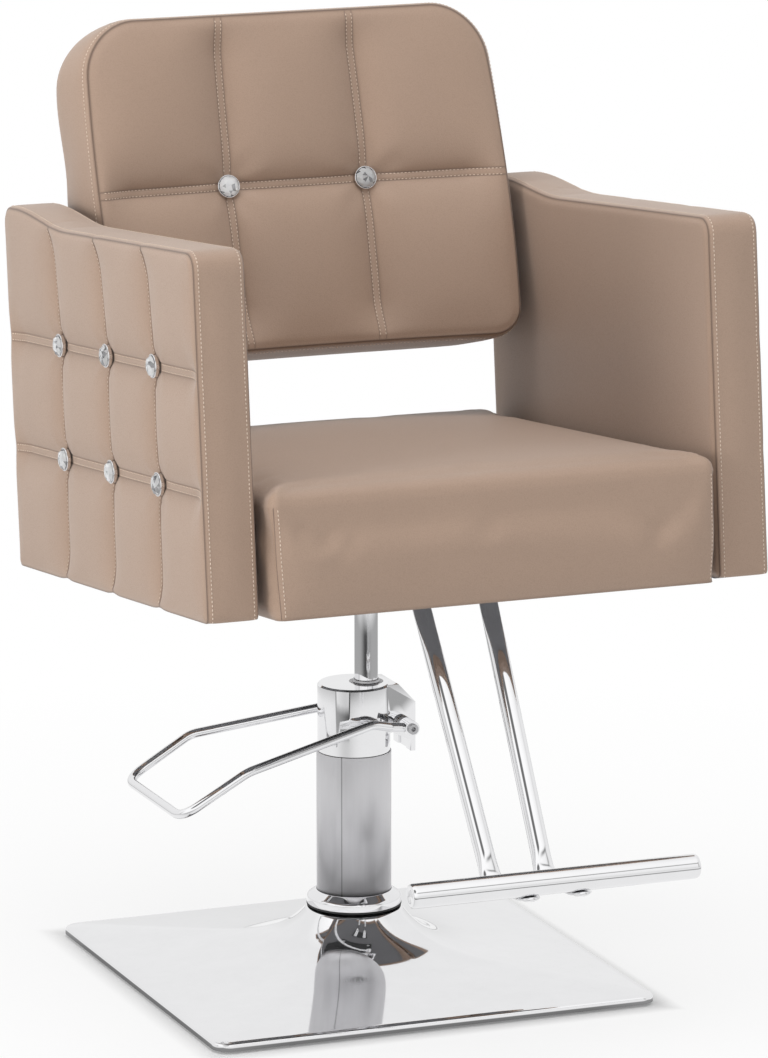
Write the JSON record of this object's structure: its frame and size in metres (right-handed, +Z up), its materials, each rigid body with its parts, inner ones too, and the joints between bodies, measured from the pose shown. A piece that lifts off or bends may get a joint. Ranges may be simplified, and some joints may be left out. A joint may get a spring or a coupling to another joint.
{
  "type": "salon styling chair",
  "caption": "Upholstered salon styling chair with box arms and tufted back on a hydraulic column, square base, pump pedal and T-bar footrest.",
  "frame": {"origin": "on the floor under the centre of the square base", "axes": "+Z up, the sitter faces -Y, the sitter's left arm is at +X"},
  "size_m": [0.613, 0.8144, 0.9931],
  "materials": {
    "chrome": "polished",
    "steel": "satin",
    "satin_sleeve": "satin",
    "black_rubber": "matte",
    "clear_pad": "gloss",
    "bronze": "satin",
    "black_paint": "satin",
    "plywood": "matte",
    "grey_cloth": "matte",
    "taupe_cushion": "matte",
    "taupe_panel": "matte",
    "crystal": "gloss"
  },
  "bodies": {
    "base": {"base_shell": "chrome", "base_plate": "steel", "base_pads": "clear_pad", "pump_flange": "steel", "flange_bolts": "steel", "collar_gasket": "black_rubber", "column_collar": "chrome", "column_sleeve": "satin_sleeve", "oil_reservoir": "steel", "valve_block": "steel", "main_cylinder": "steel", "pump_head": "chrome", "guide_bush": "bronze", "wiper_seal": "steel", "shaft_bushes": "bronze"},
    "plunger": {"pump_plunger": "steel"},
    "pedal": {"pedal_shaft": "chrome", "pump_rocker": "steel", "pedal_bosses": "chrome", "pedal_rod": "chrome", "pedal_screws": "steel", "pedal_spring": "steel"},
    "piston": {"ram_head": "steel", "ram_seal": "black_rubber", "thrust_washer": "bronze"},
    "seat": {"ram_rod": "chrome", "ram_nut": "steel", "seat_bracket": "black_paint", "hub_screw": "steel", "bracket_bolts": "steel", "seat_board": "plywood", "underside_cover": "grey_cloth", "seat_cushion": "taupe_cushion", "arm_cores": "plywood", "arm_base_covers": "grey_cloth", "right_arm_pad": "taupe_cushion", "left_arm_pad": "taupe_cushion", "arm_bolts": "steel", "arm_spacers": "steel", "backrest_board": "plywood", "backrest_rails": "plywood", "backrest_cushion": "taupe_cushion", "backrest_rear_panel": "taupe_panel", "backrest_bolts": "steel", "backrest_spacers": "steel", "button_rims": "chrome", "button_crystals": "crystal", "footrest_plate": "black_paint", "footrest_plate_bolts": "steel", "footrest_leg_right": "chrome", "footrest_leg_left": "chrome", "footrest_bar": "chrome", "footrest_end_caps": "chrome", "footrest_bar_screws": "steel"}
  },
  "joints": [
    {"name": "lift", "type": "slide", "parent": "base", "child": "piston", "axis": [0, 0, 1], "range_m": [-0.1, 0.025]},
    {"name": "swivel", "type": "hinge", "parent": "piston", "child": "seat", "pos_m": [0.014, 0, 0.16], "axis": [0, 0, 1], "continuous": true},
    {"name": "pedal_press", "type": "hinge", "parent": "base", "child": "pedal", "pos_m": [0.046, 0, 0.271], "axis": [0, -1, 0], "range_deg": [0, 18], "stiffness_Nm_per_rad": 6, "springref_deg": -28.65},
    {"name": "plunger_stroke", "type": "slide", "parent": "base", "child": "plunger", "axis": [-1, 0, 0], "range_m": [0, 0.0054]}
  ],
  "couplings": [
    {"joint": "plunger_stroke", "follows": "pedal_press", "m_per_rad": 0.0169}
  ]
}
